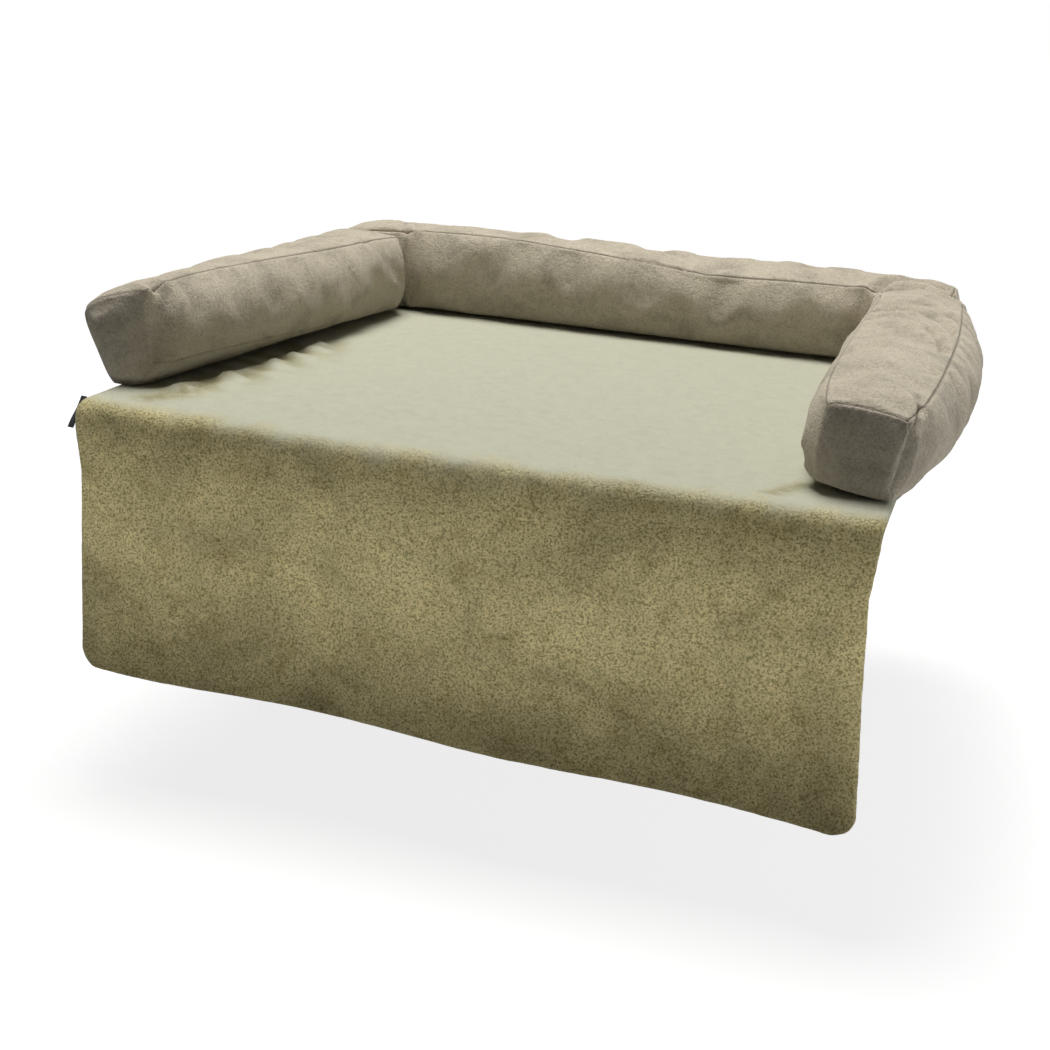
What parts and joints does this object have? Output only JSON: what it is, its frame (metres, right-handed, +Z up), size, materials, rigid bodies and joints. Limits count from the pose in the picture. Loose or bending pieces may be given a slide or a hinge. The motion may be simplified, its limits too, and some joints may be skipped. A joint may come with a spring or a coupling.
{
  "type": "sofa-top pet bed",
  "caption": "Sofa-top orthopaedic pet bed: foam mat with plush top, three box bolsters in a U and a plush flap that hangs over the seat's front edge.",
  "frame": {"origin": "centre of the mat's flat underside, which rests on a sofa seat", "axes": "+X to the bed's right seen from its open front, +Y to the back bolster, +Z up; the flap hangs below the origin in front of the seat"},
  "size_m": [1.1034, 0.9607, 0.5123],
  "materials": {
    "plush": "short brushed pile, pale sage to olive",
    "suede": "brushed faux suede, warm taupe",
    "lining": "plain woven",
    "wadding": "needled polyester",
    "label": "woven, blank",
    "grip_cloth": "woven with rubber dots",
    "memory_foam": "open-cell memory foam",
    "support_foam": "open-cell polyether foam",
    "bolster_foam": "cut polyether foam",
    "zip_tape": "woven tape",
    "zip_coil": "moulded nylon coil",
    "zip_metal": "dark lacquer"
  },
  "bodies": {
    "bed": {"back_bottom_panel": "suede", "back_foam_core": "bolster_foam", "back_inner_panel": "suede", "back_left_panel": "suede", "back_outer_panel": "suede", "back_right_panel": "suede", "back_top_panel": "suede", "back_zip_coil": "zip_coil", "back_zip_tape_lower": "zip_tape", "back_zip_tape_upper": "zip_tape", "fold_lining": "lining", "fold_plush": "plush", "fold_wadding": "wadding", "left_arm_bottom_panel": "suede", "left_arm_foam_core": "bolster_foam", "left_arm_front_panel": "suede", "left_arm_inner_panel": "suede", "left_arm_outer_panel": "suede", "left_arm_rear_panel": "suede", "left_arm_top_panel": "suede", "left_arm_zip_coil": "zip_coil", "left_arm_zip_tape_lower": "zip_tape", "left_arm_zip_tape_upper": "zip_tape", "mat_base_cover": "grip_cloth", "mat_memory_foam": "memory_foam", "mat_side_band": "suede", "mat_support_foam": "support_foam", "mat_zip_coil": "zip_coil", "mat_zip_tape_lower": "zip_tape", "mat_zip_tape_upper": "zip_tape", "right_arm_bottom_panel": "suede", "right_arm_foam_core": "bolster_foam", "right_arm_front_panel": "suede", "right_arm_inner_panel": "suede", "right_arm_outer_panel": "suede", "right_arm_rear_panel": "suede", "right_arm_top_panel": "suede", "right_arm_zip_coil": "zip_coil", "right_arm_zip_tape_lower": "zip_tape", "right_arm_zip_tape_upper": "zip_tape", "seat_plush_cover": "plush", "side_label": "label"},
    "flap": {"flap_plush": "plush", "flap_wadding": "wadding", "flap_lining": "lining"},
    "mat_zip_runner": {"mat_zip_slider": "zip_metal"},
    "mat_zip_tab": {"mat_zip_pull": "zip_metal"},
    "left_arm_zip_runner": {"left_arm_zip_slider": "zip_metal"},
    "left_arm_zip_tab": {"left_arm_zip_pull": "zip_metal"},
    "right_arm_zip_runner": {"right_arm_zip_slider": "zip_metal"},
    "right_arm_zip_tab": {"right_arm_zip_pull": "zip_metal"},
    "back_zip_runner": {"back_zip_slider": "zip_metal"},
    "back_zip_tab": {"back_zip_pull": "zip_metal"}
  },
  "joints": [
    {"name": "flap_fold", "type": "hinge", "parent": "bed", "child": "flap", "pos_m": [0, -0.47749, 0.04249], "axis": [-1, 0, 0], "range_deg": [0, 90], "deforming": ["fold_plush", "fold_wadding", "fold_lining", "side_label"]},
    {"name": "mat_zip_slide", "type": "slide", "parent": "bed", "child": "mat_zip_runner", "axis": [1, 0, 0], "range_m": [0, 0.577]},
    {"name": "mat_zip_pull_turn", "type": "hinge", "parent": "mat_zip_runner", "child": "mat_zip_tab", "pos_m": [-0.2885, 0.45395, 0.02425], "axis": [0, 0, -1], "range_deg": [0, 170]},
    {"name": "left_arm_zip_slide", "type": "slide", "parent": "bed", "child": "left_arm_zip_runner", "axis": [-0.0275, -0.9996, -0.0086], "range_m": [0, 0.177]},
    {"name": "left_arm_zip_pull_turn", "type": "hinge", "parent": "left_arm_zip_runner", "child": "left_arm_zip_tab", "pos_m": [-0.50672, 0.23682, 0.07429], "axis": [-0.3109, 0.0004, 0.9504], "range_deg": [0, 170]},
    {"name": "right_arm_zip_slide", "type": "slide", "parent": "bed", "child": "right_arm_zip_runner", "axis": [0.1051, -0.9944, 0.0121], "range_m": [0, 0.177]},
    {"name": "right_arm_zip_pull_turn", "type": "hinge", "parent": "right_arm_zip_runner", "child": "right_arm_zip_tab", "pos_m": [0.52694, 0.23659, 0.07355], "axis": [-0.4678, -0.0602, -0.8818], "range_deg": [0, 170]},
    {"name": "back_zip_slide", "type": "slide", "parent": "bed", "child": "back_zip_runner", "axis": [1, -0.0001, 0.0013], "range_m": [0, 0.617]},
    {"name": "back_zip_pull_turn", "type": "hinge", "parent": "back_zip_runner", "child": "back_zip_tab", "pos_m": [-0.3085, 0.44349, 0.07454], "axis": [0.0013, -0.243, -0.97], "range_deg": [0, 170]}
  ]
}
